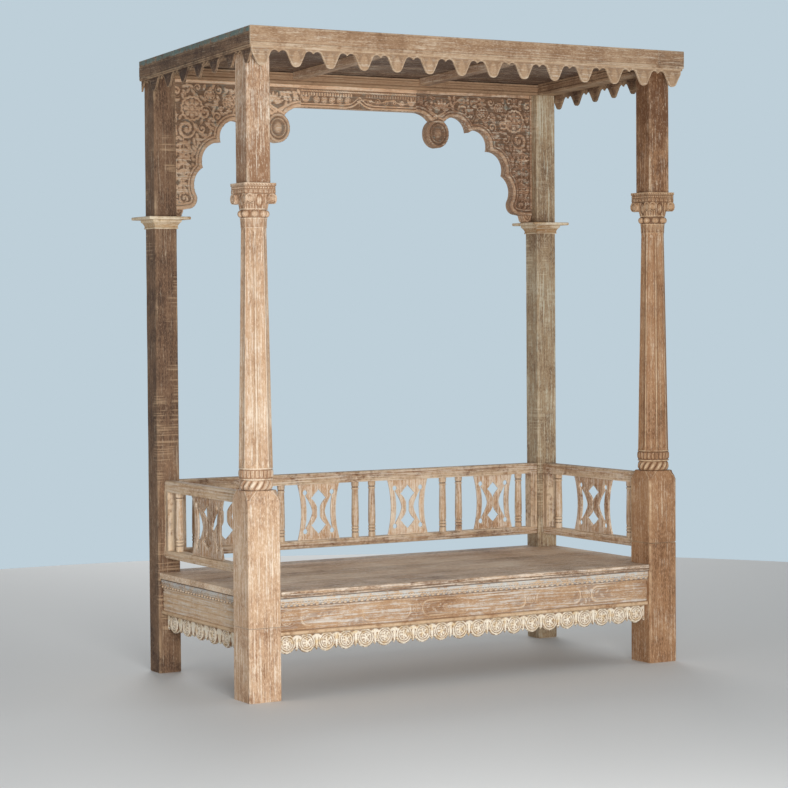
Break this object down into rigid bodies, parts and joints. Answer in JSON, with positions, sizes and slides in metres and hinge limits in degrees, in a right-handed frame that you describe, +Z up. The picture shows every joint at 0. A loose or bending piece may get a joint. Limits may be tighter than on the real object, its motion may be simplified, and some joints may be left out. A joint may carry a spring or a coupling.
{
  "type": "canopied wooden takht",
  "caption": "Carved wooden takht: a low seat deck with back and side rails, under a gently sloping canopy on posts with a cusped arch and hanging pendants.",
  "frame": {"origin": "on the floor, under the middle of the overall box", "axes": "+Z up, +X to the right along the front of the seat, +Y from the front to the back"},
  "size_m": [1.988, 1.033, 2.47],
  "materials": {
    "limed_teak": "lime-washed carved teak, pale in the grain and worn on the edges",
    "brown_teak": "old brown teak with traces of lime in the grain",
    "pale_trim_wood": "pale yellow-brown wood with a worn cream finish",
    "worn_fascia_wood": "old teak boards with white worn edges",
    "carved_arch_teak": "carved teak with traces of green paint in the hollows",
    "cream_painted_wood": "cream paint worn to ochre on the edges",
    "rail_teak": "oiled brown teak with pale scratches",
    "limed_fret_wood": "limed wood, white in the grain",
    "roof_teak": "rough roof boards with a worn teal paint on the ends",
    "blue_painted_wood": "pale blue paint worn through to the wood",
    "seat_teak": "grey-brown boards with pale scratches"
  },
  "bodies": {
    "root": {"apron_bead_strips": "blue_painted_wood", "apron_roll_mouldings": "brown_teak", "arch_left_bracket": "carved_arch_teak", "arch_left_corbel": "carved_arch_teak", "arch_left_frieze": "carved_arch_teak", "arch_right_bracket": "carved_arch_teak", "arch_right_corbel": "carved_arch_teak", "arch_right_frieze": "carved_arch_teak", "back_apron": "brown_teak", "back_balusters": "limed_fret_wood", "back_beam": "brown_teak", "back_fret_panels": "limed_fret_wood", "back_left_capital_moulding": "pale_trim_wood", "back_left_capital_plate": "pale_trim_wood", "back_left_post": "brown_teak", "back_rail_bottom": "rail_teak", "back_rail_stiles": "rail_teak", "back_rail_top": "rail_teak", "back_right_capital_moulding": "pale_trim_wood", "back_right_capital_plate": "pale_trim_wood", "back_right_post": "brown_teak", "front_apron": "brown_teak", "front_beam": "brown_teak", "front_fascia": "worn_fascia_wood", "front_fascia_end": "worn_fascia_wood", "front_left_capital": "limed_teak", "front_left_column": "limed_teak", "front_left_foot": "limed_teak", "front_left_upper_post": "limed_teak", "front_lower_valance": "cream_painted_wood", "front_right_capital": "limed_teak", "front_right_column": "limed_teak", "front_right_foot": "limed_teak", "front_right_upper_post": "limed_teak", "front_valance": "worn_fascia_wood", "left_apron": "brown_teak", "left_balusters": "limed_fret_wood", "left_beam": "brown_teak", "left_fascia": "worn_fascia_wood", "left_fret_panels": "limed_fret_wood", "left_lower_valance": "cream_painted_wood", "left_rail_bottom": "rail_teak", "left_rail_stiles": "rail_teak", "left_rail_top": "rail_teak", "left_valance": "worn_fascia_wood", "pegs": "brown_teak", "right_apron": "brown_teak", "right_balusters": "limed_fret_wood", "right_beam": "brown_teak", "right_fascia": "worn_fascia_wood", "right_fret_panels": "limed_fret_wood", "right_lower_valance": "cream_painted_wood", "right_rail_bottom": "rail_teak", "right_rail_stiles": "rail_teak", "right_rail_top": "rail_teak", "right_valance": "worn_fascia_wood", "roof_boards": "roof_teak", "roof_joists": "brown_teak", "seat_bearers": "brown_teak", "seat_boards": "seat_teak"}
  },
  "joints": []
}
